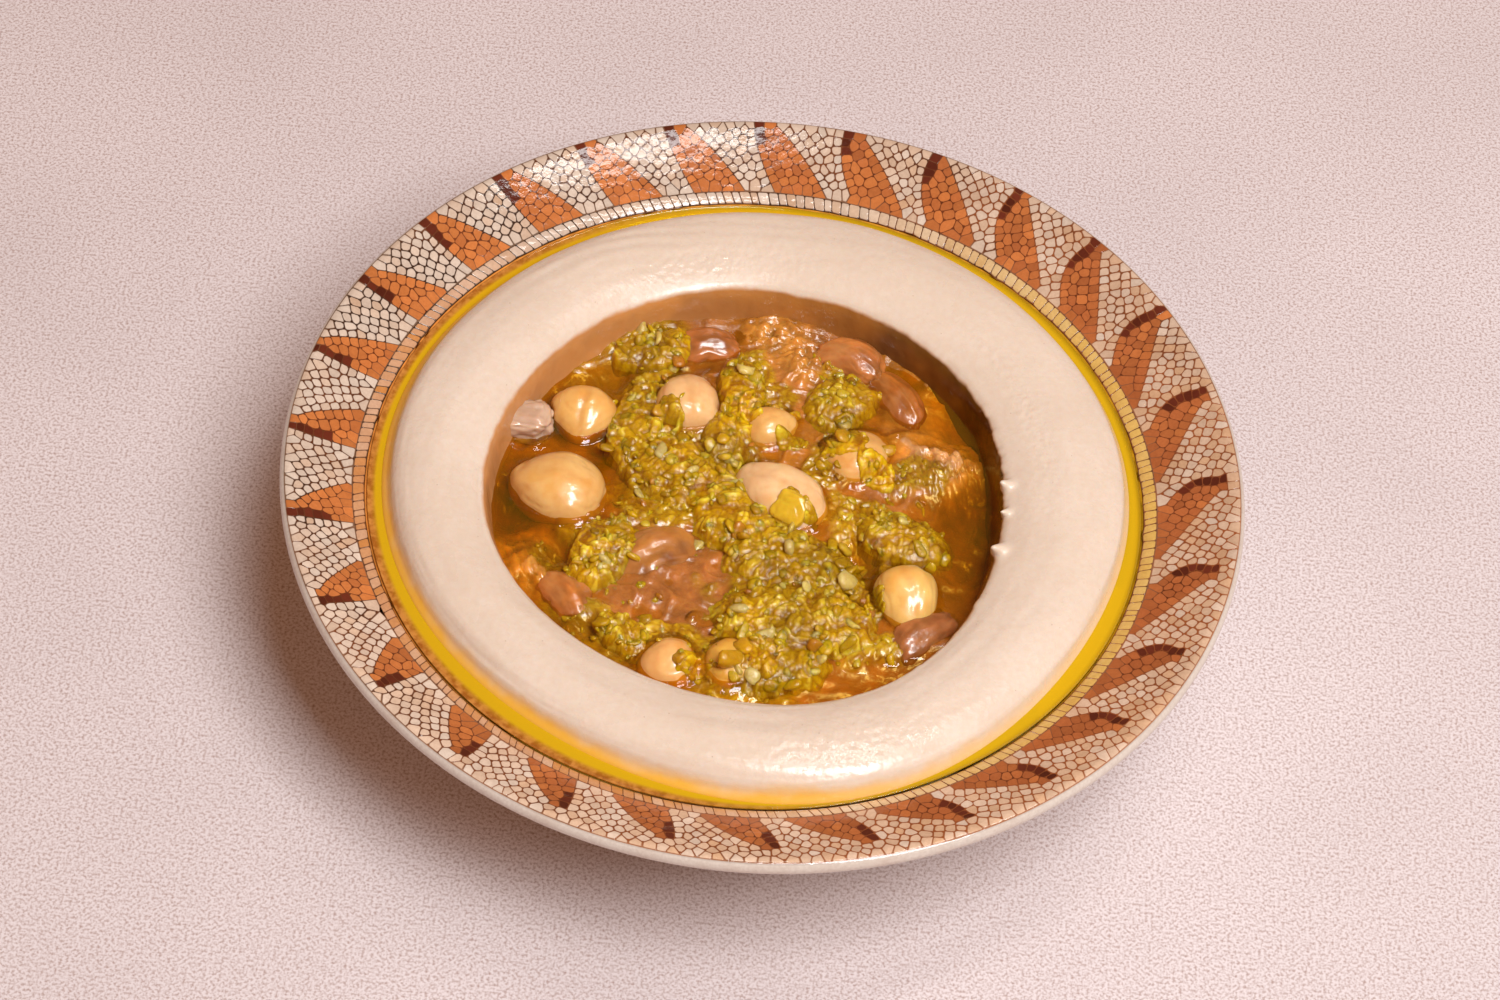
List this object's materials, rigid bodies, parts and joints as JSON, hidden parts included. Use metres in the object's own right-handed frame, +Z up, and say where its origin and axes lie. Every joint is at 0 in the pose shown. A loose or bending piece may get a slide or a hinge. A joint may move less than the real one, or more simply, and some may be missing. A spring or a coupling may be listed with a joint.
{
  "type": "bowl of hummus",
  "caption": "Round glazed bowl with a wide sloping rim, filled with a swept ring of hummus round a well of mashed beans, chickpeas and chopped green relish in oil.",
  "frame": {"origin": "on the surface the bowl stands on, under the middle of its rim", "axes": "+Z up along the bowl's axis; +X to the right and -Y towards the side shown in front, where the narrower part of the hummus ring is to the right"},
  "size_m": [0.16, 0.16, 0.038],
  "materials": {
    "glazed_ware": "glossy glaze over a painted mosaic border",
    "hummus": "moist, satin",
    "oil": "clear yellow liquid",
    "bean_mash": "wet and lumpy",
    "chickpea": "boiled, oily skin",
    "fava_skin": "wet, smooth skin",
    "relish": "wet chopped pepper",
    "pepper": "wet, smooth skin"
  },
  "bodies": {
    "root": {"bowl": "glazed_ware", "hummus": "hummus", "oil_ring": "oil", "oil_pool_1": "oil", "oil_pool_2": "oil", "fava_mash": "bean_mash", "chickpea_1": "chickpea", "chickpea_2": "chickpea", "chickpea_3": "chickpea", "chickpea_4": "chickpea", "chickpea_5": "chickpea", "chickpea_6": "chickpea", "chickpea_7": "chickpea", "chickpea_8": "chickpea", "chickpea_9": "chickpea", "fava_bean_1": "fava_skin", "fava_bean_2": "fava_skin", "fava_bean_3": "fava_skin", "fava_bean_4": "fava_skin", "fava_bean_5": "fava_skin", "fava_bean_6": "fava_skin", "relish_middle": "relish", "relish_far_left": "relish", "relish_far_right": "relish", "relish_left": "relish", "relish_right": "relish", "relish_near_left": "relish", "hummus_chunk": "hummus", "pepper_piece": "pepper"}
  },
  "joints": []
}
